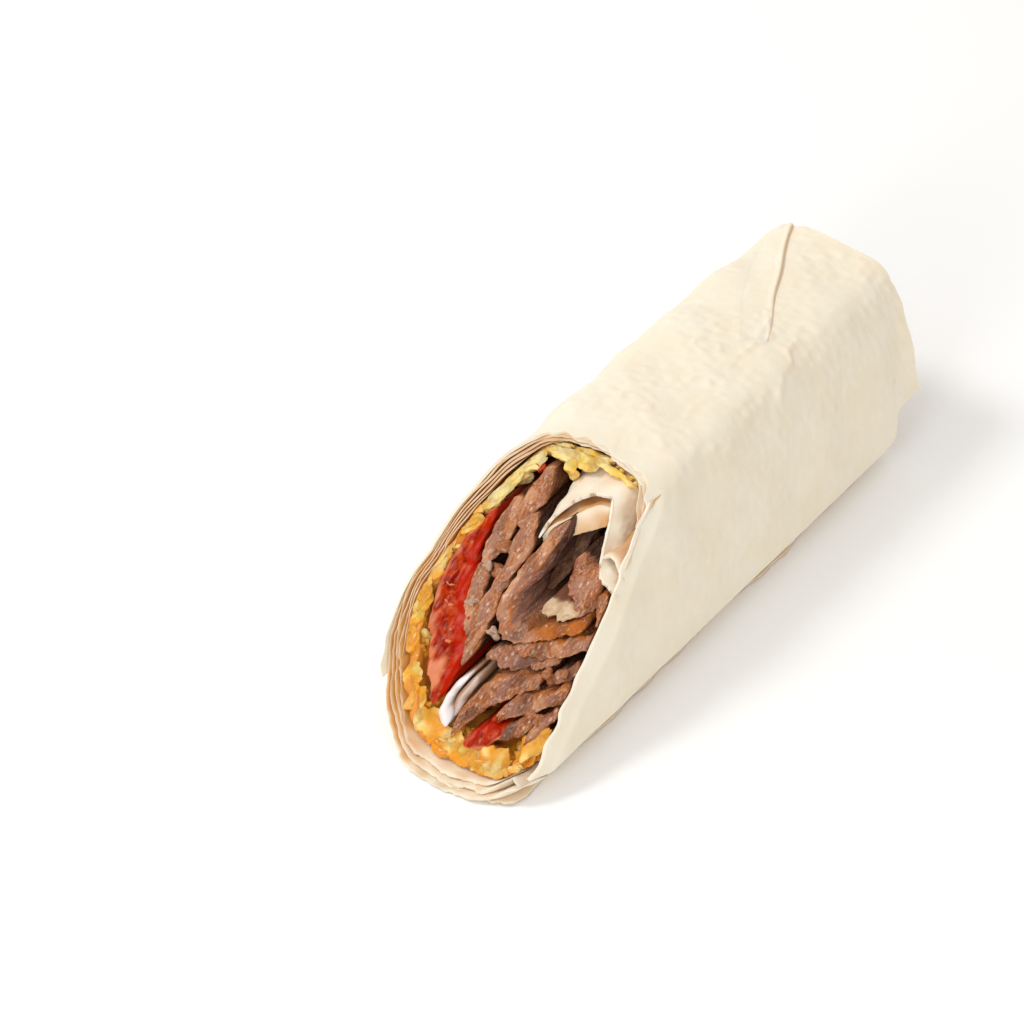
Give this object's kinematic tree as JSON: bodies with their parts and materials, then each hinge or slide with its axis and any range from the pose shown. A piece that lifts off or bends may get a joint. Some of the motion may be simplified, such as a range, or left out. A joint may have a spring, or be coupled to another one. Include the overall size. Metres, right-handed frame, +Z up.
{
  "type": "meat wrap half",
  "caption": "Half of a rolled flatbread wrap, cut on a long slant, with sliced meat, tomato, onion and crisps showing in the open end.",
  "frame": {"origin": "middle of the footprint, on the surface that the roll rests on", "axes": "+X along the roll from the open slanted cut to the folded end, +Z up"},
  "size_m": [0.164, 0.053, 0.0457],
  "materials": {
    "flatbread": "matte soft unleavened flatbread, floury, slightly translucent",
    "meat": "moist sliced roast meat with browned edges",
    "meat_fat": "pale moist fat and sinew",
    "tomato": "wet ripe tomato flesh",
    "onion": "moist translucent white onion",
    "crisps": "brittle yellow crisps softened by sauce",
    "sauce": "thin glossy orange sauce"
  },
  "bodies": {
    "root": {"lavash": "flatbread", "tomato_slice": "tomato", "onion_ring": "onion", "meat_slice_01": "meat", "meat_slice_02": "meat", "meat_slice_03": "meat", "meat_slice_04": "meat", "meat_slice_05": "meat", "meat_slice_06": "meat", "meat_slice_07": "meat", "meat_slice_08": "meat", "meat_slice_09": "meat", "meat_slice_10": "meat", "meat_slice_11": "meat", "meat_slice_12": "meat", "meat_slice_13": "meat", "meat_slice_14": "meat", "meat_slice_15": "meat", "meat_slice_16": "meat", "fat_strip": "meat_fat", "onion_sliver": "onion", "tomato_end": "tomato", "crisp_layer": "crisps"}
  },
  "joints": []
}
